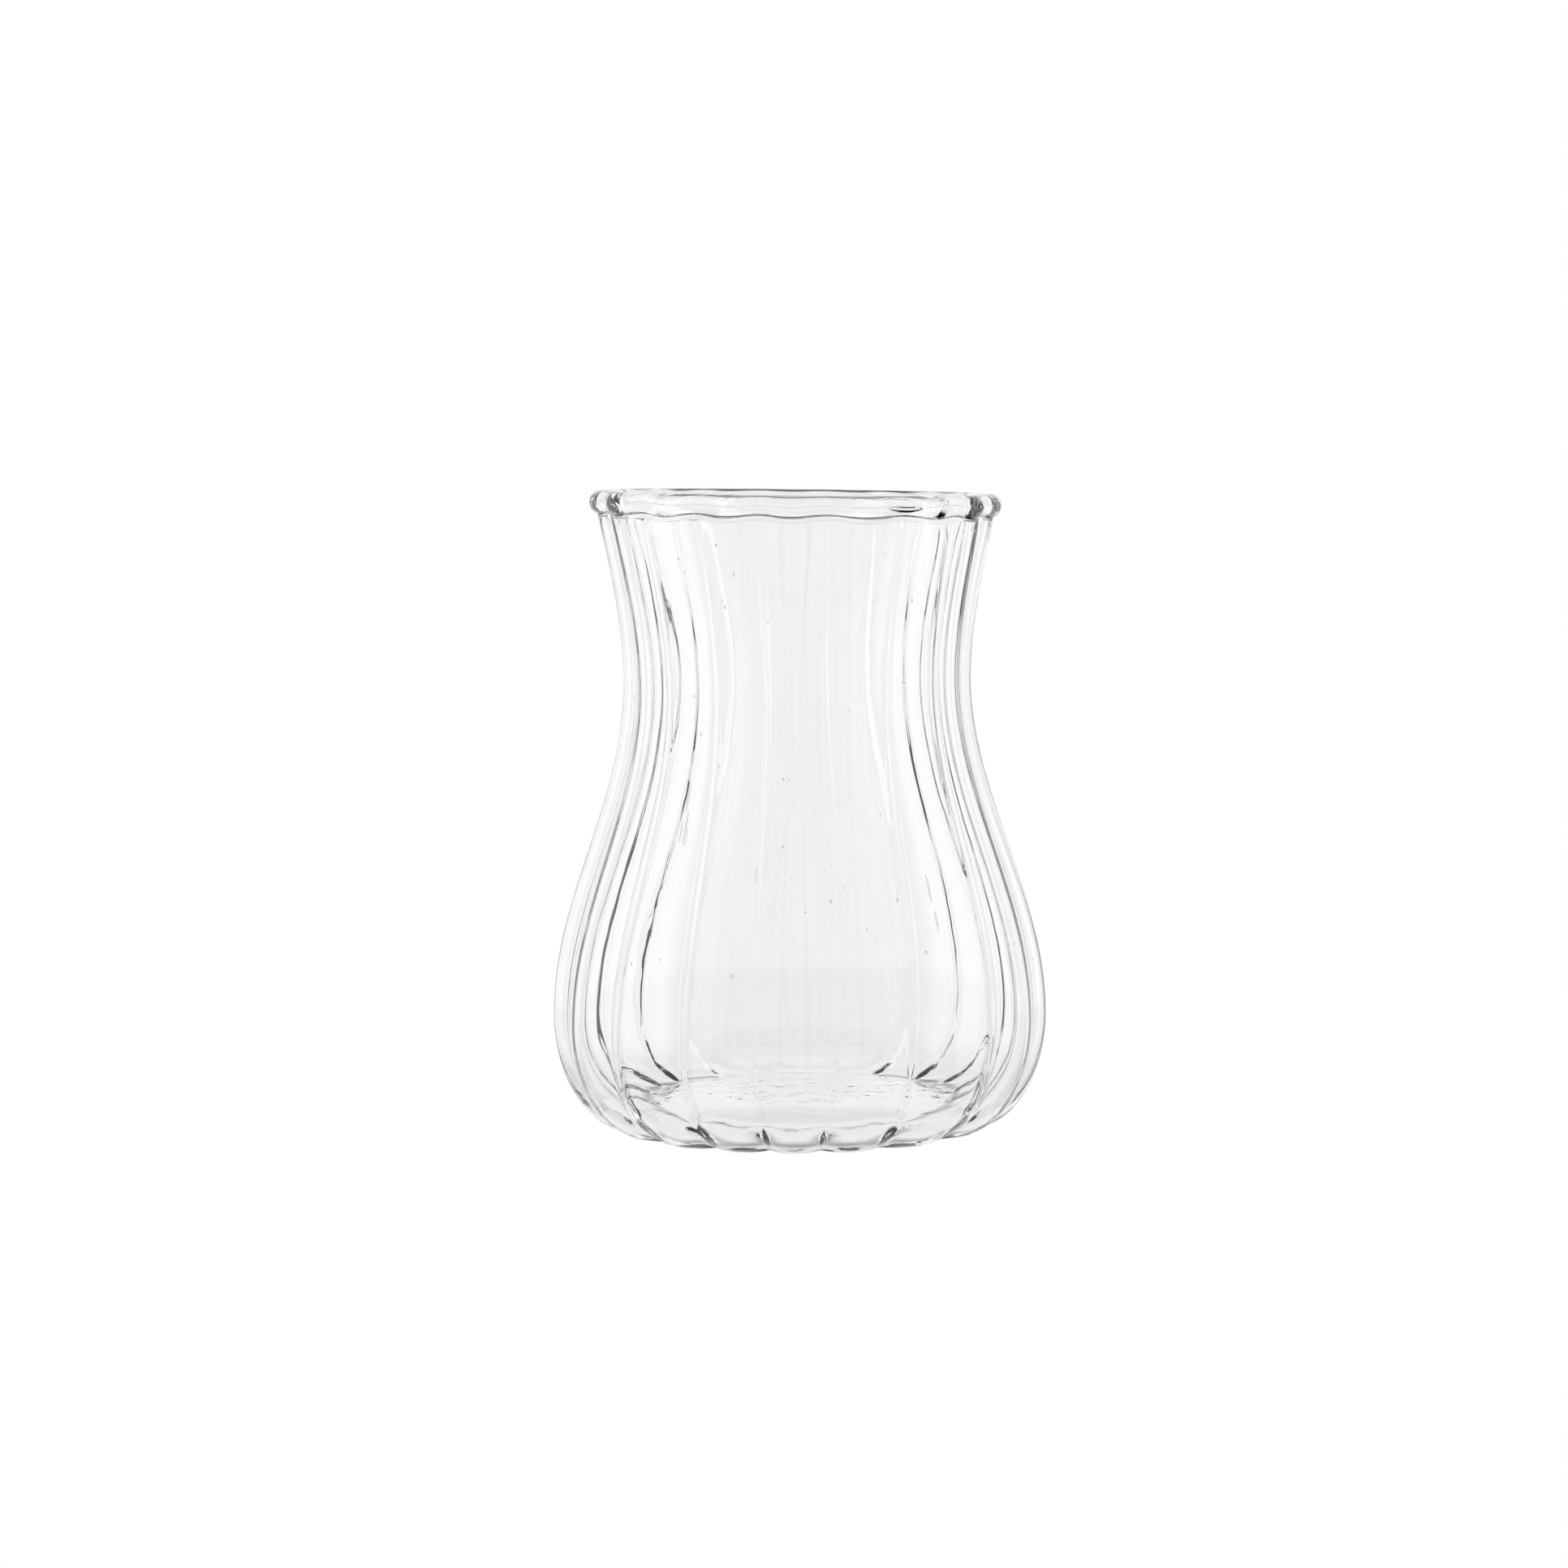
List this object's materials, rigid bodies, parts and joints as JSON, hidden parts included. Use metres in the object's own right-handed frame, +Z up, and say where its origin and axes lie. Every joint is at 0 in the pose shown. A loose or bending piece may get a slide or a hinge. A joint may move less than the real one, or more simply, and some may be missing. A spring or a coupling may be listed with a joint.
{
  "type": "chai glass",
  "caption": "Handleless clear glass tumbler with a rounded belly, narrow waist, flared beaded rim and vertical flutes that curl under the base.",
  "frame": {"origin": "middle of the standing ring, on the table", "axes": "+Z up along the glass's axis; -Y towards the picture's camera, through the middle of a flute ridge; +X to the right"},
  "size_m": [0.0744, 0.0752, 0.0963],
  "materials": {
    "clear_glass": "fire-polished, clear, with a few small seeds"
  },
  "bodies": {
    "root": {"base": "clear_glass", "fluted_wall": "clear_glass", "rim_bead": "clear_glass"}
  },
  "joints": []
}
